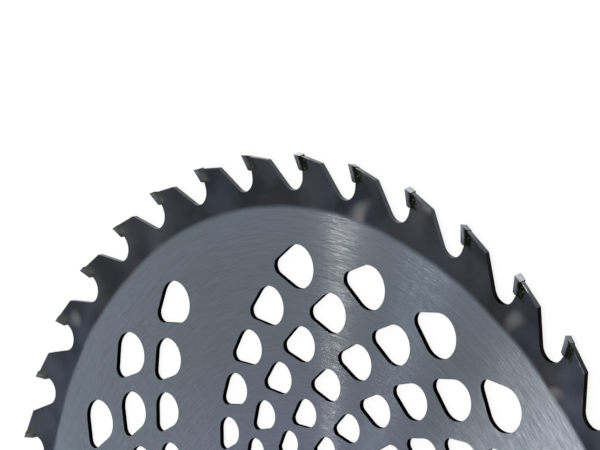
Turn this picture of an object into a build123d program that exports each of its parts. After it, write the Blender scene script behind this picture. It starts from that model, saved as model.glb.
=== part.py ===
from build123d import *
import math
import os

os.makedirs("parts", exist_ok=True)

# A round brush cutter blade, lying flat: a thin steel plate with hooked teeth and drop-shaped
# holes, and one carbide tip brazed into a seat at the front of each tooth.
# All lengths are millimetres, all angles degrees. +Z points up out of the plate, the blade's
# axis is Z, and z = 0 is the surface that the sides of the tips rest on.
# Seen from above, the teeth face counter-clockwise.

# Whole blade
blade_diameter = 255.0
bore_diameter = 25.4
plate_thickness = 1.3
tooth_count = 40

# Tooth form, measured in the frame of a tooth whose cutting edge is at angle zero
hook_angle = 22.5
gullet_radius = 3.8
gullet_depth = 9.5
gullet_lead = 1.1
shoulder_drop = 1.85
shoulder_setback = 9.45
shoulder_radius = 0.6

# Carbide tips
tip_width = 2.1
tip_thickness = 1.8
tip_length = 5.0
tip_chamfer = 0.6
tip_top_relief = 8.0
tip_top_bevel = 10.0
tip_root_relief = 1.5
tip_back_relief = 3.0
tip_above_land = 0.35

# Drop-shaped holes, all inside a circle that leaves rim_wall of solid plate below the gullets.
# Each ring, from the rim inwards, gives the radius at which the wide ends lie and the radius of
# the wide end, both as shares of that circle's radius, and how far the pointed end turns
# towards the centre.
rim_wall = 13.7
hole_rings = [
    (0.9454, 0.05465, 3.5),
    (0.8476, 0.04938, 11.5),
    (0.7546, 0.04458, 10.5),
    (0.6683, 0.04027, 13.5),
    (0.5839, 0.03595, 26.0),
    (0.5081, 0.02972, 22.5),
]
nose_radius_ratio = 0.4
nose_distance_ratio = 1.185
hole_groups = 4
rows_per_group = 5
bare_rows = 1
ring_stagger = 7.5
bare_band_angle = 33.4

# Heights and angles worked out from the sizes above
tip_radius = blade_diameter / 2
tooth_pitch = 360 / tooth_count
plate_bottom = (tip_width - plate_thickness) / 2
hole_circle_radius = tip_radius - gullet_depth - rim_wall
row_pitch = 360 / (hole_groups * (rows_per_group + bare_rows))


def turned(point, angle):
    """The point turned about the blade's axis."""
    return Vector(point).rotate(Axis.Z, angle)


# In the tooth's own frame X runs outwards through the cutting edge and the tooth faces +Y.
# These two directions lie along the tip's front face and square to it.
hook = math.radians(hook_angle)
face_down = Vector(-math.cos(hook), -math.sin(hook))
face_back = Vector(math.sin(hook), -math.cos(hook))
cutting_edge = Vector(tip_radius, 0)

# The tip's top falls away behind the cutting edge by its relief as well as the hook.
top_fall = tip_thickness * math.tan(hook + math.radians(tip_top_relief))
tip_back_top = cutting_edge + face_back * tip_thickness + face_down * top_fall
seat_bottom = cutting_edge + face_down * tip_length + face_back * tip_thickness
seat_top = tip_back_top + face_down * tip_above_land
gullet_centre = Vector(tip_radius - gullet_depth + gullet_radius, gullet_lead)
shoulder = Vector(
    math.sqrt((tip_radius - shoulder_drop) ** 2 - shoulder_setback ** 2), -shoulder_setback
)


def left_tangent(point, centre, radius):
    """Where the line from the point touches the circle, on the side that the tooth backs onto."""
    to_centre = centre - point
    swing = math.degrees(math.asin(radius / to_centre.length))
    reach = math.sqrt(to_centre.length ** 2 - radius ** 2)
    return point + to_centre.normalized().rotate(Axis.Z, -swing) * reach


def tooth_edges():
    """The plate's outline over one tooth, from its gullet over the seat and the land to the
    start of the next gullet."""
    next_gullet = turned(gullet_centre, -tooth_pitch)
    back_foot = left_tangent(shoulder, next_gullet, gullet_radius)
    gullet_start = turned(back_foot, tooth_pitch)
    gullet_end = gullet_centre + Vector(0, -gullet_radius)
    gullet_bottom = gullet_centre + Vector(-gullet_radius, 0)
    ledge_slope = face_back.X / -face_back.Y
    ledge_front = Vector(seat_bottom.X - (gullet_end.Y - seat_bottom.Y) * ledge_slope, gullet_end.Y)
    land_direction = (shoulder - seat_top).normalized()
    back_direction = (back_foot - shoulder).normalized()
    half_turn = math.radians(land_direction.get_angle(back_direction)) / 2
    trim = shoulder_radius * math.tan(half_turn)
    round_start = shoulder - land_direction * trim
    round_end = shoulder + back_direction * trim
    inward = (back_direction - land_direction).normalized()
    round_centre = shoulder + inward * (shoulder_radius / math.cos(half_turn))
    round_middle = round_centre - inward * shoulder_radius
    return [
        ThreePointArc(gullet_start, gullet_bottom, gullet_end),
        Line(gullet_end, ledge_front),
        Line(ledge_front, seat_bottom),
        Line(seat_bottom, seat_top),
        Line(seat_top, round_start),
        ThreePointArc(round_start, round_middle, round_end),
        Line(round_end, back_foot),
    ]


def drop_outline(wide_radius):
    """A drop lying along +Y, with the centre of its wide end at the origin."""
    nose_radius = wide_radius * nose_radius_ratio
    nose_distance = wide_radius * nose_distance_ratio
    spread = math.acos((wide_radius - nose_radius) / nose_distance)
    side = Vector(math.sin(spread), math.cos(spread))
    other_side = Vector(-side.X, side.Y)
    nose = Vector(0, nose_distance)
    wide_arc = ThreePointArc(side * wide_radius, Vector(0, -wide_radius), other_side * wide_radius)
    first_flank = Line(other_side * wide_radius, nose + other_side * nose_radius)
    nose_arc = ThreePointArc(
        nose + other_side * nose_radius, nose + Vector(0, nose_radius), nose + side * nose_radius
    )
    second_flank = Line(nose + side * nose_radius, side * wide_radius)
    return Wire([wide_arc, first_flank, nose_arc, second_flank])


def drop_holes():
    """The outlines of all the holes. The rows lean from ring to ring, and one row in each
    group is left out, so the plate keeps a bare curved spoke between the groups."""
    outlines = []
    for ring, (radius_share, wide_share, nose_turn) in enumerate(hole_rings):
        ring_radius = hole_circle_radius * radius_share
        outline = drop_outline(hole_circle_radius * wide_share)
        for group in range(hole_groups):
            for row in range(bare_rows, bare_rows + rows_per_group):
                place = group * (rows_per_group + bare_rows) + row
                angle = bare_band_angle + ring * ring_stagger + place * row_pitch
                spot = Pos(*turned((ring_radius, 0, 0), angle))
                outlines.append(outline.moved(spot * Rot(0, 0, angle + nose_turn)))
    return outlines


def blade_plate():
    """The toothed plate, cut from sheet, with its holes and its bore."""
    one_tooth = tooth_edges()
    edges = [
        edge.moved(Rot(0, 0, tooth * tooth_pitch)) for tooth in range(tooth_count) for edge in one_tooth
    ]
    bore = Wire([Edge.make_circle(bore_diameter / 2)])
    sheet = Face(Wire(edges), [bore] + drop_holes())
    plate = extrude(sheet, amount=plate_thickness, dir=(0, 0, 1))
    return Pos(0, 0, plate_bottom) * plate


def cut_beside(solid, corner, first, second):
    """What is left of the solid below the plane through the corner along both directions.
    The plane's normal, first x second, points at what is cut away."""
    return split(solid, Plane(origin=corner, z_dir=first.cross(second)), keep=Keep.BOTTOM)


def carbide_tip(high_side):
    """One tip at angle zero. high_side is +1 where the cutting edge is higher on the upper
    side of the blade, and -1 where it is higher on the lower side."""
    front_bottom = cutting_edge + face_down * tip_length
    profile = Polyline(
        cutting_edge,
        cutting_edge + face_back * tip_thickness,
        seat_bottom,
        front_bottom + face_back * tip_chamfer,
        front_bottom - face_down * tip_chamfer,
        close=True,
    )
    blank = extrude(make_face(profile), amount=tip_width, dir=(0, 0, 1))
    up = Vector(0, 0, 1)
    root_taper = math.tan(math.radians(tip_root_relief))
    back_taper = math.tan(math.radians(tip_back_relief))
    upper_corner = cutting_edge + up * tip_width
    lower_corner = cutting_edge
    tip = cut_beside(blank, upper_corner, face_down - up * root_taper, face_back - up * back_taper)
    tip = cut_beside(tip, lower_corner, face_back + up * back_taper, face_down + up * root_taper)
    bevel_fall = math.tan(math.radians(tip_top_bevel)) * high_side
    high_corner = upper_corner if high_side > 0 else lower_corner
    return cut_beside(tip, high_corner, up - face_down * bevel_fall, tip_back_top - cutting_edge)


export_step(blade_plate(), "parts/blade_plate.step")
tip_kinds = [carbide_tip(-1), carbide_tip(1)]
for tooth in range(tooth_count):
    tip = Rot(0, 0, tooth * tooth_pitch) * tip_kinds[tooth % 2]
    export_step(tip, f"parts/carbide_tip_{tooth + 1:02d}.step")
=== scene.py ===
import bpy
import math
import numpy as np
from mathutils import Matrix, Vector


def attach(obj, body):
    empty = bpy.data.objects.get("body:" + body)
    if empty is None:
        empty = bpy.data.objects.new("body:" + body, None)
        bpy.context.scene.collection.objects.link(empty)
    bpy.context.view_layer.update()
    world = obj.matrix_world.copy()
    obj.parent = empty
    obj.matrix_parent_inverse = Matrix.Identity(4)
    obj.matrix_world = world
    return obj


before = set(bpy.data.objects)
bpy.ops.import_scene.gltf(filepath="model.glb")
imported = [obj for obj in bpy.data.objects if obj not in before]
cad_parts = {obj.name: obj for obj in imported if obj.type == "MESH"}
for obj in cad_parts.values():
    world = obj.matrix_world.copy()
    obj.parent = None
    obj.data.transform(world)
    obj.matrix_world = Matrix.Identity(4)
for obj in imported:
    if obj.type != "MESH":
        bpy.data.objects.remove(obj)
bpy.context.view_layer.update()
print("frame loaded:", len(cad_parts), "nodes")


# Small helpers for node trees. A value is either another node's socket, which gets linked,
# or a number, vector or colour, which becomes the input's own value.
def feed(tree, socket, value):
    if isinstance(value, bpy.types.NodeSocket):
        tree.links.new(value, socket)
    else:
        socket.default_value = value


def addNode(tree, kind, **settings):
    node = tree.nodes.new(kind)
    for key, value in settings.items():
        setattr(node, key, value)
    return node


def calc(tree, operation, *values):
    node = addNode(tree, "ShaderNodeMath", operation=operation)
    for place, value in enumerate(values):
        feed(tree, node.inputs[place], value)
    return node.outputs["Value"]


def times(tree, first, *others):
    for other in others:
        first = calc(tree, "MULTIPLY", first, other)
    return first


def vectorCalc(tree, operation, *values, result="Vector"):
    node = addNode(tree, "ShaderNodeVectorMath", operation=operation)
    for place, value in enumerate(values):
        feed(tree, node.inputs["Scale" if operation == "SCALE" and place == 1 else place], value)
    return node.outputs[result]


def splitVector(tree, vector):
    node = addNode(tree, "ShaderNodeSeparateXYZ")
    feed(tree, node.inputs[0], vector)
    return node.outputs


def fadeBetween(tree, value, limits, gives=(0.0, 1.0)):
    # smooth step: gives[0] where the value is at the first limit, gives[1] at the second
    node = addNode(tree, "ShaderNodeMapRange", interpolation_type="SMOOTHSTEP", clamp=True)
    names = ("Value", "From Min", "From Max", "To Min", "To Max")
    for name, setting in zip(names, (value, *limits, *gives)):
        feed(tree, node.inputs[name], setting)
    return node.outputs["Result"]


def noise(tree, vector, scale, detail=2.0, roughness=0.5, result="Fac"):
    node = addNode(tree, "ShaderNodeTexNoise")
    feed(tree, node.inputs["Vector"], vector)
    for name, setting in (("Scale", scale), ("Detail", detail), ("Roughness", roughness)):
        feed(tree, node.inputs[name], setting)
    return node.outputs[result]


def patches(tree, place, pattern):
    # a pattern is (noise scale, detail, limits, what it gives at those limits)
    scale, detail, limits, gives = pattern
    return fadeBetween(tree, noise(tree, place, scale, detail), limits, gives)


def centred(tree, value, reach):
    # a noise value of about 0.5 turned into one about 0, times the reach
    return times(tree, calc(tree, "SUBTRACT", value, 0.5), reach)


def ragged(tree, place, stray):
    # a noise about 0; stray is (noise scale, detail, reach)
    scale, detail, reach = stray
    return centred(tree, noise(tree, place, scale, detail), reach)


def mixColour(tree, mask, first, second):
    # the first colour where the mask is 0, the second where it is 1
    node = addNode(tree, "ShaderNodeMix", data_type="RGBA", clamp_factor=True)
    feed(tree, node.inputs[0], mask)
    feed(tree, node.inputs[6], first)
    feed(tree, node.inputs[7], second)
    return node.outputs[2]


def newMaterial(name):
    material = bpy.data.materials.new(name)
    material.use_nodes = True
    tree = material.node_tree
    tree.nodes.clear()
    output = addNode(tree, "ShaderNodeOutputMaterial")
    shader = addNode(tree, "ShaderNodeBsdfPrincipled")
    tree.links.new(shader.outputs["BSDF"], output.inputs["Surface"])
    return material, tree, shader


def rgb(red, green, blue):
    # a colour as seen on screen, 0 to 255, turned into the linear values that a shader wants
    screen = np.array((red, green, blue)) / 255
    linear = np.where(screen <= 0.04045, screen / 12.92, ((screen + 0.055) / 1.055) ** 2.4)
    return (*(float(part) for part in linear), 1.0)


# Camera, where the photograph was taken from
camera = {
    "place": (-0.442067, -0.365351, 0.480151),
    "lookAt": (0.032973, -0.104221, 0.001681),
    "roll": -100.093,  # degrees about the line of sight
    "lens": 172.94,
    "sensorWidth": 36.0,
    "clip": (0.01, 20.0),
}


def placeCamera(setup):
    data = bpy.data.cameras.new("photoCamera")
    data.lens = setup["lens"]
    data.sensor_width = setup["sensorWidth"]
    data.clip_start, data.clip_end = setup["clip"]
    item = bpy.data.objects.new("photoCamera", data)
    bpy.context.scene.collection.objects.link(item)
    forward = (Vector(setup["lookAt"]) - Vector(setup["place"])).normalized()
    levelRight = forward.cross(Vector((0, 0, 1))).normalized()
    levelUp = levelRight.cross(forward)
    roll = math.radians(setup["roll"])
    right = levelRight * math.cos(roll) + levelUp * math.sin(roll)
    up = levelUp * math.cos(roll) - levelRight * math.sin(roll)
    turn = Matrix((right, up, -forward)).transposed().to_4x4()
    item.matrix_world = Matrix.Translation(setup["place"]) @ turn
    bpy.context.scene.camera = item


placeCamera(camera)
print("camera placed")


# Floor, world and lamps. A lamp's size is its width and height, and its turn is in degrees
# about its beam.
studio = {
    "floorSize": 6.0,
    "floorColour": (0.92, 0.96, 1.0, 1.0),
    "floorGlow": 0.88,  # share of plain white in the floor as the eye sees it; it lights nothing
    "worldLight": 0.36,  # what the world lights with; the eye sees it as white
    "lampDistance": 1.25,
    "lamps": {
        "overheadSoftbox": {
            "towards": (0.1785, 0.0014, 0.9839), "size": (0.50, 0.59), "turn": 0.0,
            "radiance": 6.8, "colour": (1.0, 0.85, 0.77),
        },
        "narrowStrip": {
            "towards": (0.7288, -0.2403, 0.6412), "size": (0.088, 0.50), "turn": 124.3,
            "radiance": 9.6, "colour": (1.0, 0.83, 0.68),
        },
        "sideStrip": {
            "towards": (0.5223, -0.4746, 0.7085), "size": (0.175, 0.50), "turn": 138.0,
            "radiance": 6.5, "colour": (1.0, 1.0, 1.0),
        },
        "wideSoftbox": {
            "towards": (-0.0247, 0.6433, 0.7652), "size": (0.90, 0.75), "turn": 0.0,
            "radiance": 1.35, "colour": (1.0, 1.0, 1.0),
        },
        "coolPanel": {
            "towards": (0.36, 0.345, 0.867), "size": (0.28, 0.40), "turn": -44.0,
            "radiance": 2.0, "colour": (0.7, 0.85, 1.0),
        },
    },
}


def seenDirectly(tree):
    # 1 for the camera and for reflections, 0 for the rays that gather light
    path = addNode(tree, "ShaderNodeLightPath")
    first = calc(tree, "MAXIMUM", path.outputs["Is Camera Ray"], path.outputs["Is Glossy Ray"])
    return calc(tree, "MAXIMUM", first, path.outputs["Is Transmission Ray"])


def makeFloor(setup):
    half = setup["floorSize"] / 2
    corners = [(-half, -half, 0), (half, -half, 0), (half, half, 0), (-half, half, 0)]
    mesh = bpy.data.meshes.new("floor")
    mesh.from_pydata(corners, [], [(0, 1, 2, 3)])
    floor = bpy.data.objects.new("floor", mesh)
    bpy.context.scene.collection.objects.link(floor)
    material = bpy.data.materials.new("paleFloor")
    material.use_nodes = True
    tree = material.node_tree
    tree.nodes.clear()
    lit = addNode(tree, "ShaderNodeBsdfDiffuse")
    lit.inputs["Color"].default_value = setup["floorColour"]
    glow = addNode(tree, "ShaderNodeEmission")
    blend = addNode(tree, "ShaderNodeMixShader")
    feed(tree, blend.inputs["Fac"], times(tree, seenDirectly(tree), setup["floorGlow"]))
    feed(tree, blend.inputs[1], lit.outputs["BSDF"])
    feed(tree, blend.inputs[2], glow.outputs["Emission"])
    output = addNode(tree, "ShaderNodeOutputMaterial")
    feed(tree, output.inputs["Surface"], blend.outputs["Shader"])
    mesh.materials.append(material)


def makeWorld(setup):
    world = bpy.data.worlds.new("whiteStudio")
    world.use_nodes = True
    world.cycles.sampling_method = "NONE"
    tree = world.node_tree
    tree.nodes.clear()
    background = addNode(tree, "ShaderNodeBackground")
    background.inputs["Color"].default_value = (1, 1, 1, 1)
    strength = fadeBetween(tree, seenDirectly(tree), (0.0, 1.0), (setup["worldLight"], 1.0))
    feed(tree, background.inputs["Strength"], strength)
    output = addNode(tree, "ShaderNodeOutputWorld")
    tree.links.new(background.outputs["Background"], output.inputs["Surface"])
    bpy.context.scene.world = world


def hangLamps(setup):
    for name, lamp in setup["lamps"].items():
        width, height = lamp["size"]
        data = bpy.data.lights.new(name, "AREA")
        data.shape = "RECTANGLE"
        data.size = width
        data.size_y = height
        data.color = lamp["colour"]
        data.energy = lamp["radiance"] * 4 * width * height  # watts that give this radiance
        item = bpy.data.objects.new(name, data)
        bpy.context.scene.collection.objects.link(item)
        away = Vector(lamp["towards"]).normalized()
        level = Vector((0, 0, 1)).cross(away).normalized()
        turn = Matrix.Rotation(math.radians(lamp["turn"]), 3, "Z")
        aim = Matrix((level, away.cross(level), away)).transposed() @ turn
        item.matrix_world = Matrix.Translation(away * setup["lampDistance"]) @ aim.to_4x4()


makeFloor(studio)
makeWorld(studio)
hangLamps(studio)
print("studio lit")


# Where each tip sits, seen with its cutting edge on the X axis and the tooth facing +Y.
# Lengths and radii are metres.
tipSeat = {
    "teeth": 40,
    "cuttingRadius": 0.1275,
    "hookAngle": 22.5,
    "thickness": 0.0018,
    "length": 0.005,
    "seatTop": 0.00141,  # distance down the tip at which the plate's land meets it
    "ledge": 0.0009,  # how far the plate's ledge runs under the tip
    "middleHeight": 0.00105,
    "plateHalf": 0.00065,
    "tipHalf": 0.00105,
    "sideFallDown": 0.0262,  # how fast the tip's sides close in downwards and backwards
    "sideFallBack": 0.0524,
    "frontMargin": 0.01,  # radians ahead of a cutting edge that still count as its tooth
    "landStart": 0.0022,  # how far behind the cutting edge the land starts
    "landDepth": 0.12691,  # radius of the land's front end, just behind the tip
    "landFall": 0.174,  # how fast the land runs inwards behind it
    "sootAndShadeSide": 243.0,  # degrees round the disc where painted shade deepens the braze stains and darkens the tooth walls
    "sootAndShadeFade": (0.45, 0.75),  # closeness to that side at which the stains turn from thin to full; that deepening is painted shade
}


def aroundTheAxis(tree):
    # Object coordinates as the distance from the axis and the direction outwards
    place = addNode(tree, "ShaderNodeTexCoord").outputs["Object"]
    flat = vectorCalc(tree, "MULTIPLY", place, (1, 1, 0))
    radius = vectorCalc(tree, "LENGTH", flat, result="Value")
    outwards = vectorCalc(tree, "NORMALIZE", flat)
    return place, radius, outwards


def towards(tree, outwards, degrees):
    # 1 on that side of the disc, 0 a quarter turn away and -1 opposite
    side = math.radians(degrees)
    sideways = (math.cos(side), math.sin(side), 0)
    return vectorCalc(tree, "DOT_PRODUCT", outwards, sideways, result="Value")


def behindTheEdge(tree, place, radius, seat):
    # how far a point lies behind its tooth's cutting edge along the circle, and behind the front
    # face of the tip: the angle is taken modulo one tooth
    parts = splitVector(tree, place)
    angle = calc(tree, "ARCTAN2", parts["Y"], parts["X"])
    margin = seat["frontMargin"]
    toothAngle = 2 * math.pi / seat["teeth"]
    back = calc(tree, "WRAP", times(tree, angle, -1.0), toothAngle - margin, -margin)
    behind = times(tree, back, radius)
    hook = math.radians(seat["hookAngle"])
    inset = times(tree, calc(tree, "SUBTRACT", radius, seat["cuttingRadius"]), math.sin(hook))
    return behind, calc(tree, "ADD", inset, times(tree, behind, math.cos(hook)))


# Plate steel: a ground disc inside a dark hardened rim. Each fade is a pair of limits, and the
# pair named for its shades says how bright the colour is at each. A pattern is (noise scale,
# detail, limits, what it gives there) and a stray is (noise scale, detail, reach).
plateFinish = {
    # the ground disc
    "groundColour": rgb(96, 104, 113),
    "hubColour": rgb(101, 108, 122),
    "hubFade": (0.080, 0.055),  # radii over which the ground colour turns to the hub's
    "innerFade": (0.100, 0.110),
    "innerShades": (0.945, 1.02),  # a little darker away from the rim
    "groundEdge": 0.1138,  # radius where the grinding stops
    "edgeBlur": 0.0009,
    "edgeStray": (60.0, 2.0, 0.0014),
    "groundRoughness": 0.22,
    "anisotropy": 1.0,
    "fineGrooves": (34000.0, 30.0, 0.0),  # per metre of radius, how short along the circle, shift
    "fineSlope": 2.4,
    "scratches": (5000.0, 12.0, 7.0),
    "scratchSlope": 0.1,
    "scratchFade": (0.3, 0.7),
    "scratchShades": (0.89, 1.11),
    "drift": (5000.0, 12.0, 19.0),
    "driftSlope": 0.0045,  # how far a scratch turns the surface along the circle
    "grooveStray": (50.0, 2.0, 0.0003),  # the scratches stray from true circles
    # the rim
    "rimColour": rgb(48, 49, 54),
    "rimBlue": rgb(44, 48, 56),
    "bluePatches": (38.0, 1.0, (0.42, 0.58), (0.0, 1.0)),
    "rimClouds": (90.0, 3.0, (0.36, 0.64), (0.75, 1.25)),
    "rimCoolReflection": rgb(50, 56, 66),
    "coolReflectionSide": 352.0,  # degrees round the disc where the rim gets a painted reflection, lighter and bluer
    "coolReflectionFade": (0.94, 0.99),
    "paintedShadeSide": 228.0,  # degrees round the disc where the rim, its lands and its stain flecks get the most painted shade
    "paintedShadeFade": (0.966, 0.993),
    "paintedShadeLevels": (1.0, 0.62),
    "paintedShadeToothFade": (0.950, 0.966),
    "paintedShadeToothLevels": (1.0, 0.3),
    # pale blotches on the rim are painted reflections
    "rimReflectionColour": rgb(112, 112, 114),
    "reflectionBlotches": (66.0, 1.0, (0.64, 0.80), (0.0, 1.0)),
    "wornColour": rgb(84, 87, 92),
    "wornShare": 0.5,
    "wornFade": (0.0005, 0.0001),  # distance from the land at which the polish stops and is full
    "wornStray": (700.0, 2.0, 0.0012),
    "rimRoughness": 0.18,
    "rimWaves": 45.0,
    "rimWaveSlope": 0.45,
    # stains behind the tips
    "stainColour": rgb(8, 8, 7),
    "stainFleck": rgb(54, 56, 46),
    "flecks": (1200.0, 2.0, (0.50, 0.66), (0.0, 1.0)),
    "thinStain": rgb(58, 62, 62),
    "stainFade": (0.0021, 0.0009),  # how far behind a tip its stain ends and is full
    "stainFoot": (0.1227, 0.1240),  # radii between which it starts
    "stainStray": (900.0, 3.0, 0.0018),
    # walls of the holes and round the teeth
    "faceFade": (0.4, 0.6),  # upward part of the normal that tells a face from a wall
    "holeWallColour": rgb(3, 3, 4),
    "toothWallColour": rgb(68, 71, 77),
    "toothWallFade": (0.110, 0.112),
    # the tooth walls on one side of the disc are painted dark brown as shade
    "paintedShadeWallColour": rgb(22, 19, 17),
    "paintedShadeWallFade": (0.985, 0.93),
    "blackShine": (0.35, 0.35, 0.35, 1),  # share of the steel's shine left on the black hole walls and on the tooth walls painted dark as shade
    "landColour": rgb(84, 87, 93),
    "landNormalFade": (0.75, 0.85),
    "landRadiusFade": (0.1235, 0.1245),
    "landFade": (0.002, 0.007),
    "landShades": (1.5, 0.8),
    # the bright lip is a painted highlight along the upper edge of each land
    "lipHighlightColour": rgb(205, 205, 200),
    "lipHeightFade": (0.00125, 0.0015),
    "lipEndFade": (0.0058, 0.0045),
    "lipBreaks": (160.0, 1.0, (0.40, 0.55), (0.0, 1.0)),
}


def concentricGrooves(tree, radius, outwards, grooves):
    # noise stretched along the circle: it changes quickly with the radius, slowly with the angle
    perMetre, spread, shift = grooves
    lift = addNode(tree, "ShaderNodeCombineXYZ")
    feed(tree, lift.inputs["Z"], calc(tree, "MULTIPLY_ADD", radius, perMetre, shift))
    around = vectorCalc(tree, "SCALE", outwards, spread)
    spot = vectorCalc(tree, "ADD", around, lift.outputs[0])
    return noise(tree, spot, 1.0, detail=3.0, roughness=0.6)


def brazeStain(tree, place, radius, fromFace, finish, seat):
    # 1 just behind each tip, with a ragged edge where the heat and flux stopped
    limits = [seat["thickness"] + distance for distance in finish["stainFade"]]
    stray = ragged(tree, place, finish["stainStray"])
    near = fadeBetween(tree, calc(tree, "ADD", fromFace, stray), limits)
    return times(tree, near, fadeBetween(tree, calc(tree, "ADD", radius, stray), finish["stainFoot"]))


def wornLand(tree, place, radius, behind, finish, seat):
    # 1 along the outer edge of each tooth, where handling has polished the steel
    gone = times(tree, calc(tree, "SUBTRACT", behind, seat["landStart"]), seat["landFall"])
    depth = calc(tree, "SUBTRACT", seat["landDepth"], calc(tree, "ADD", radius, gone))
    depth = calc(tree, "ADD", depth, ragged(tree, place, finish["wornStray"]))
    return fadeBetween(tree, depth, finish["wornFade"])


def plateSteel(finish, seat):
    material, tree, shader = newMaterial("plateSteel")
    place, radius, outwards = aroundTheAxis(tree)
    around = vectorCalc(tree, "CROSS_PRODUCT", (0, 0, 1), outwards)
    normal = addNode(tree, "ShaderNodeNewGeometry").outputs["Normal"]
    upright = calc(tree, "ABSOLUTE", splitVector(tree, normal)["Z"])
    isFace = fadeBetween(tree, upright, finish["faceFade"])
    behind, fromFace = behindTheEdge(tree, place, radius, seat)
    edge = calc(tree, "ADD", radius, ragged(tree, place, finish["edgeStray"]))
    groundEnd = finish["groundEdge"] + finish["edgeBlur"]
    groundFull = finish["groundEdge"] - finish["edgeBlur"]
    isGround = fadeBetween(tree, edge, (groundEnd, groundFull))
    radius = calc(tree, "ADD", radius, ragged(tree, place, finish["grooveStray"]))
    # closeness to the side of the disc where the stains are deepened and the tooth walls darkened
    # with painted shade
    sootAndShade = towards(tree, outwards, seat["sootAndShadeSide"])
    # closeness to the side where the rim, the lands and the stain flecks get painted shade
    paintedShadeSide = towards(tree, outwards, finish["paintedShadeSide"])
    shadedTooth = fadeBetween(tree, paintedShadeSide, finish["paintedShadeToothFade"], finish["paintedShadeToothLevels"])

    # walls are black in the holes, bare round most teeth and painted dark brown as shade on one side
    # of the disc; the lands are ground, with a bright lip painted along their upper edge as a
    # highlight
    outward = vectorCalc(tree, "DOT_PRODUCT", normal, outwards, result="Value")
    facesOut = fadeBetween(tree, outward, finish["landNormalFade"])
    isLand = times(tree, facesOut, fadeBetween(tree, radius, finish["landRadiusFade"]))
    landShade = fadeBetween(tree, behind, finish["landFade"], finish["landShades"])
    # painted shade on the lands of that side
    landShade = times(tree, landShade, shadedTooth)
    land = vectorCalc(tree, "SCALE", finish["landColour"][:3], landShade)
    isToothWall = fadeBetween(tree, radius, finish["toothWallFade"])
    # tooth walls on one side of the disc get painted shade, the others stay bare
    unshadedToothWall = times(tree, isToothWall, fadeBetween(tree, sootAndShade, finish["paintedShadeWallFade"]))
    keepsFullShine = calc(tree, "MAXIMUM", unshadedToothWall, calc(tree, "MAXIMUM", isLand, isFace))
    toothWall = mixColour(tree, unshadedToothWall, finish["paintedShadeWallColour"], finish["toothWallColour"])
    wall = mixColour(tree, isToothWall, finish["holeWallColour"], toothWall)
    wall = mixColour(tree, isLand, wall, land)
    # painted highlight along the upper edge of each land, near its tip
    lipHighlight = times(
        tree,
        fadeBetween(tree, splitVector(tree, place)["Z"], finish["lipHeightFade"]),
        fadeBetween(tree, behind, finish["lipEndFade"]),
        patches(tree, place, finish["lipBreaks"]),
        isLand,
    )
    wall = mixColour(tree, lipHighlight, wall, finish["lipHighlightColour"])

    # the ground disc, lined by its scratches
    scratches = concentricGrooves(tree, radius, outwards, finish["scratches"])
    scratchShade = fadeBetween(tree, scratches, finish["scratchFade"], finish["scratchShades"])
    inner = fadeBetween(tree, radius, finish["innerFade"], finish["innerShades"])
    isHub = fadeBetween(tree, radius, finish["hubFade"])
    ground = mixColour(tree, isHub, finish["groundColour"], finish["hubColour"])
    ground = vectorCalc(tree, "SCALE", ground, times(tree, scratchShade, inner))

    # the rim: cloudy, bluer in places, with painted shade on one side and a painted bluish reflection
    # on another, blotched with painted reflections, worn and stained
    isBlue = patches(tree, place, finish["bluePatches"])
    rim = mixColour(tree, isBlue, finish["rimColour"], finish["rimBlue"])
    # a lighter, bluer rim on one side is a painted reflection
    coolReflectionSide = towards(tree, outwards, finish["coolReflectionSide"])
    rim = mixColour(tree, fadeBetween(tree, coolReflectionSide, finish["coolReflectionFade"]), rim, finish["rimCoolReflection"])
    clouds = patches(tree, place, finish["rimClouds"])
    # painted shade darkens the rim on one side
    paintedRimShade = fadeBetween(tree, paintedShadeSide, finish["paintedShadeFade"], finish["paintedShadeLevels"])
    rim = vectorCalc(tree, "SCALE", rim, times(tree, clouds, paintedRimShade))
    # painted reflections as pale blotches on the rim
    rim = mixColour(tree, patches(tree, place, finish["reflectionBlotches"]), rim, finish["rimReflectionColour"])
    worn = wornLand(tree, place, radius, behind, finish, seat)
    rim = mixColour(tree, times(tree, worn, finish["wornShare"]), rim, finish["wornColour"])
    # the stain flecks fade out under the painted shade on that side
    flecks = times(tree, patches(tree, place, finish["flecks"]), shadedTooth)
    stain = mixColour(tree, flecks, finish["stainColour"], finish["stainFleck"])
    # the braze stains are real, and their deepening on one side of the disc is painted shade
    isSootyAndShaded = fadeBetween(tree, sootAndShade, seat["sootAndShadeFade"])
    stain = mixColour(tree, isSootyAndShaded, finish["thinStain"], stain)
    isStain = brazeStain(tree, place, radius, fromFace, finish, seat)
    rim = mixColour(tree, isStain, rim, stain)

    face = mixColour(tree, isGround, rim, ground)
    feed(tree, shader.inputs["Base Color"], mixColour(tree, isFace, wall, face))
    shader.inputs["Metallic"].default_value = 1.0
    roughnesses = (finish["rimRoughness"], finish["groundRoughness"])
    feed(tree, shader.inputs["Roughness"], fadeBetween(tree, isGround, (0.0, 1.0), roughnesses))
    shader.inputs["Anisotropic"].default_value = finish["anisotropy"]
    shine = mixColour(tree, keepsFullShine, finish["blackShine"], (1, 1, 1, 1))
    feed(tree, shader.inputs["Specular Tint"], shine)
    feed(tree, shader.inputs["Tangent"], outwards)

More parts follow.
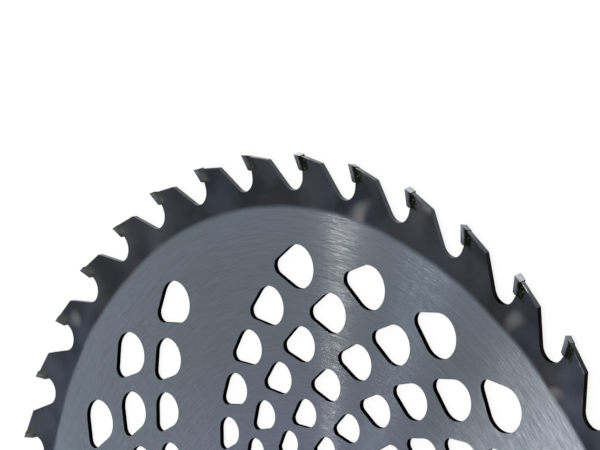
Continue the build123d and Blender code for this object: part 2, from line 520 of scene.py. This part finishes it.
    # grinding tilts the surface in and out, hardening leaves the rim slightly wavy
    fine = concentricGrooves(tree, radius, outwards, finish["fineGrooves"])
    fineTilt = centred(tree, fine, finish["fineSlope"])
    slope = calc(tree, "ADD", fineTilt, centred(tree, scratches, finish["scratchSlope"]))
    tilt = vectorCalc(tree, "SCALE", outwards, slope)
    drift = concentricGrooves(tree, radius, outwards, finish["drift"])
    sideways = vectorCalc(tree, "SCALE", around, centred(tree, drift, finish["driftSlope"]))
    groundTilt = vectorCalc(tree, "SCALE", vectorCalc(tree, "ADD", tilt, sideways), isGround)
    waves = noise(tree, place, finish["rimWaves"], detail=1.0, result="Color")
    wave = vectorCalc(tree, "SUBTRACT", waves, (0.5, 0.5, 0.5))
    rimPart = times(tree, calc(tree, "SUBTRACT", 1.0, isGround), finish["rimWaveSlope"])
    rimTilt = vectorCalc(tree, "SCALE", wave, rimPart)
    allTilt = vectorCalc(tree, "SCALE", vectorCalc(tree, "ADD", groundTilt, rimTilt), isFace)
    tilted = vectorCalc(tree, "NORMALIZE", vectorCalc(tree, "ADD", normal, allTilt))
    feed(tree, shader.inputs["Normal"], tilted)
    return material


# Carbide of the tips, ground on every face
carbideFinish = {
    "sideColour": rgb(82, 87, 92),
    "footFade": (0.1225, 0.127),  # radii over which a side gets lighter
    "footShades": (0.4, 1.1),
    "grindLines": 2300.0,  # per metre, up and down the sides
    "grindStretch": 8.0,  # how much longer than wide they are
    "lineSpread": 40.0,  # makes the lines differ from tip to tip
    "lineFade": (0.3, 0.7),
    "lineShades": (0.75, 1.25),
    "tipPattern": (70.0, 0.0, (0.3, 0.7), (0.0, 1.0)),  # differs from tip to tip
    "tipSideShades": (0.75, 1.05),
    "topColour": rgb(162, 164, 168),
    "topFade": (0.7, 0.8),  # outward part of the normal that tells a top from a side
    "tipTopShades": (0.8, 1.3),
    "grainScale": 1600.0,
    "glintFade": (0.35, 0.65),
    "glintShades": (0.8, 1.2),
    "bevelFade": (-0.1, 0.1),  # upward part of the normal on a top bevelled down or up
    "bevelShades": (0.45, 1.6),
    "fluxColour": rgb(10, 10, 9),
    "thinFlux": rgb(64, 68, 68),
    "fluxFade": (0.0008, 0.0014),  # distances behind the front face
    "fluxStray": 0.0012,
    "roughFade": (0.3, 0.7),
    "roughnesses": (0.22, 0.38),
}


def tipCarbide(finish, seat):
    material, tree, shader = newMaterial("tipCarbide")
    place, radius, outwards = aroundTheAxis(tree)
    normal = addNode(tree, "ShaderNodeNewGeometry").outputs["Normal"]
    outward = vectorCalc(tree, "DOT_PRODUCT", normal, outwards, result="Value")
    isTop = fadeBetween(tree, outward, finish["topFade"])
    fromFace = behindTheEdge(tree, place, radius, seat)[1]
    grain = noise(tree, place, finish["grainScale"], detail=3.0)
    each = patches(tree, place, finish["tipPattern"])

    # sides with lines along the tip, darker towards the foot, and flux burnt on at the back
    stripe = addNode(tree, "ShaderNodeCombineXYZ")
    feed(tree, stripe.inputs["X"], times(tree, fromFace, finish["grindLines"]))
    lengthways = finish["grindLines"] / finish["grindStretch"]
    feed(tree, stripe.inputs["Y"], times(tree, radius, lengthways))
    around = vectorCalc(tree, "SCALE", outwards, finish["lineSpread"])
    lines = noise(tree, vectorCalc(tree, "ADD", stripe.outputs[0], around), 1.0)
    shade = times(
        tree,
        fadeBetween(tree, lines, finish["lineFade"], finish["lineShades"]),
        fadeBetween(tree, each, (0.0, 1.0), finish["tipSideShades"]),
        fadeBetween(tree, radius, finish["footFade"], finish["footShades"]),
    )
    side = vectorCalc(tree, "SCALE", finish["sideColour"][:3], shade)
    fluxEdge = calc(tree, "ADD", fromFace, centred(tree, grain, finish["fluxStray"]))
    isFlux = fadeBetween(tree, fluxEdge, finish["fluxFade"])
    # the flux is real, and its deepening on one side of the disc is painted shade
    isSootyAndShaded = fadeBetween(tree, towards(tree, outwards, seat["sootAndShadeSide"]), seat["sootAndShadeFade"])
    flux = mixColour(tree, isSootyAndShaded, finish["thinFlux"], finish["fluxColour"])
    side = mixColour(tree, isFlux, side, flux)

    # tops glint where they are bevelled up towards the light
    height = splitVector(tree, normal)["Z"]
    glint = times(
        tree,
        fadeBetween(tree, grain, finish["glintFade"], finish["glintShades"]),
        fadeBetween(tree, each, (0.0, 1.0), finish["tipTopShades"]),
        fadeBetween(tree, height, finish["bevelFade"], finish["bevelShades"]),
    )
    top = vectorCalc(tree, "SCALE", finish["topColour"][:3], glint)
    feed(tree, shader.inputs["Base Color"], mixColour(tree, isTop, side, top))
    shader.inputs["Metallic"].default_value = 1.0
    roughness = fadeBetween(tree, grain, finish["roughFade"], finish["roughnesses"])
    feed(tree, shader.inputs["Roughness"], roughness)
    return material


def dressNodes():
    steel = plateSteel(plateFinish, tipSeat)
    carbide = tipCarbide(carbideFinish, tipSeat)
    for name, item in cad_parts.items():
        for slot in item.material_slots:
            slot.material = steel if name == "blade_plate" else carbide


dressNodes()
print("steel and carbide finished")


# Braze that has run out along the seats, on both faces of the plate
brazeFillet = {
    "width": 0.00045,
    "rise": 0.72,  # share of the step between plate and tip
    "cornerRun": 0.0006,
    "sink": 0.00004,
    "hiddenShare": 0.9,  # how much of its width and rise it has inside the steel
    "unevenness": 0.3,
    "waves": (5, 11),  # radians of wave along a run
    "phases": (0, 6.3),
    "endMargin": 0.04,
    "endFullness": 0.35,
    "stepsAlong": 16,
    "stepsAcross": 6,
    "seed": 5,
    "darkColour": rgb(15, 15, 12),
    "paleColour": rgb(42, 45, 42),
    "cleanColour": rgb(58, 62, 61),
    "flecks": (2200.0, 3.0, (0.5, 0.7), (0.0, 1.0)),
    "roughnesses": (0.55, 0.35),
    "bumpScale": 3500.0,
    "bumpStrength": 0.5,
    "bumpDepth": 0.0001,
}


def brazeMesh(seat, fillet):
    # A quarter-ellipse hollow between tip and plate, carried down the back of the seat, round its
    # corner and along the ledge. along runs down the path, across goes from the tip to the plate:
    # out = width * (1 - cos(across)) and up = rise * (1 - sin(across)).
    hook = math.radians(seat["hookAngle"])
    faceDown = np.array((-math.cos(hook), -math.sin(hook), 0.0))
    faceBack = np.array((math.sin(hook), -math.cos(hook), 0.0))
    corner = fillet["cornerRun"]
    wallRun = seat["length"] - seat["seatTop"]
    along = np.linspace(0, 1, fillet["stepsAlong"])
    travel = along * (wallRun + corner + seat["ledge"])
    down = seat["seatTop"] + np.clip(travel, 0, wallRun)
    back = seat["thickness"] - np.clip(travel - wallRun - corner, 0, seat["ledge"])
    swing = np.clip((travel - wallRun) / corner, 0, 1) * math.pi / 2
    away = np.cos(swing)[:, None] * faceBack + np.sin(swing)[:, None] * faceDown
    edge = np.array((seat["cuttingRadius"], 0, 0))
    start = edge + down[:, None] * faceDown + back[:, None] * faceBack
    step = seat["tipHalf"] - down * seat["sideFallDown"] - back * seat["sideFallBack"]
    step = step - seat["plateHalf"]

    # width and rise wander along each run and die away at its ends
    rng = np.random.default_rng(fillet["seed"])
    shape = (seat["teeth"], 2, 1)
    waves = along * rng.uniform(*fillet["waves"], shape) + rng.uniform(*fillet["phases"], shape)
    wobble = np.sin(waves) * fillet["unevenness"]
    margin = fillet["endMargin"]
    ends = np.sin(np.clip(along, margin, 1 - margin) * math.pi) ** fillet["endFullness"]
    width = fillet["width"] * (1 + wobble) * ends
    rise = fillet["rise"] * step * (1 + wobble / 2) * ends

    # the hollow's own points, then three that close it inside the steel
    across = np.linspace(0, math.pi / 2, fillet["stepsAcross"])
    sunk = np.full_like(width, -fillet["sink"])
    hidden = fillet["hiddenShare"]
    out = width[..., None] * (1 - np.cos(across))
    up = rise[..., None] * (1 - np.sin(across))
    out = np.concatenate((out, np.stack((width * hidden, sunk, sunk), -1)), -1)
    up = np.concatenate((up, np.stack((sunk, sunk, rise * hidden), -1)), -1)
    points = start[None, None, :, None] + out[..., None] * away[None, None, :, None]
    side = np.array((1.0, -1.0))[None, :, None, None]
    points[..., 2] = seat["middleHeight"] + side * (seat["plateHalf"] + up)

    # one tooth's points turned about the axis to every tooth
    angle = np.arange(seat["teeth"]) * 2 * math.pi / seat["teeth"]
    cos, sin = np.cos(angle)[:, None, None, None], np.sin(angle)[:, None, None, None]
    x, y, z = points[..., 0], points[..., 1], points[..., 2]
    turned = np.stack((x * cos - y * sin, x * sin + y * cos, z), -1)

    # faces round and along each run and a cap at either end, all pointing outwards
    number = np.arange(turned[..., 0].size).reshape(turned.shape[:-1])
    nextAround = np.roll(number, -1, axis=3)
    fourCorners = (number[:, :, :-1], nextAround[:, :, :-1], nextAround[:, :, 1:], number[:, :, 1:])
    quads = np.stack(fourCorners, -1)
    quads[:, 0] = quads[:, 0, ..., ::-1]
    firstCaps, lastCaps = number[:, :, 0].copy(), number[:, :, -1].copy()
    firstCaps[:, 1] = firstCaps[:, 1, ::-1]
    lastCaps[:, 0] = lastCaps[:, 0, ::-1]
    caps = np.concatenate((firstCaps.reshape(-1, out.shape[3]), lastCaps.reshape(-1, out.shape[3])))
    faces = quads.reshape(-1, 4).tolist() + caps.tolist()
    mesh = bpy.data.meshes.new("braze_fillets")
    mesh.from_pydata(turned.reshape(-1, 3).tolist(), [], faces)
    mesh.polygons.foreach_set("use_smooth", np.ones(len(mesh.polygons), dtype=bool))
    print("braze fillets:", len(faces), "faces")
    return mesh


def brazeAlloy(finish, seat):
    material, tree, shader = newMaterial("brazeAlloy")
    place, _, outwards = aroundTheAxis(tree)
    flecks = patches(tree, place, finish["flecks"])
    sooty = mixColour(tree, flecks, finish["darkColour"], finish["paleColour"])
    # the braze is real, and its darkening on one side of the disc is painted shade
    isSootyAndShaded = fadeBetween(tree, towards(tree, outwards, seat["sootAndShadeSide"]), seat["sootAndShadeFade"])
    colour = mixColour(tree, isSootyAndShaded, finish["cleanColour"], sooty)
    feed(tree, shader.inputs["Base Color"], colour)
    shader.inputs["Metallic"].default_value = 1.0
    roughness = fadeBetween(tree, flecks, (0.0, 1.0), finish["roughnesses"])
    feed(tree, shader.inputs["Roughness"], roughness)
    bump = addNode(tree, "ShaderNodeBump")
    bump.inputs["Strength"].default_value = finish["bumpStrength"]
    bump.inputs["Distance"].default_value = finish["bumpDepth"]
    feed(tree, bump.inputs["Height"], noise(tree, place, finish["bumpScale"]))
    feed(tree, shader.inputs["Normal"], bump.outputs["Normal"])
    return material


def makeBraze():
    mesh = brazeMesh(tipSeat, brazeFillet)
    mesh.materials.append(brazeAlloy(brazeFillet, tipSeat))
    piece = bpy.data.objects.new("braze_fillets", mesh)
    bpy.context.scene.collection.objects.link(piece)
    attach(piece, "root")


makeBraze()
print("braze run in")

bpy.context.scene.view_settings.view_transform = "Standard"
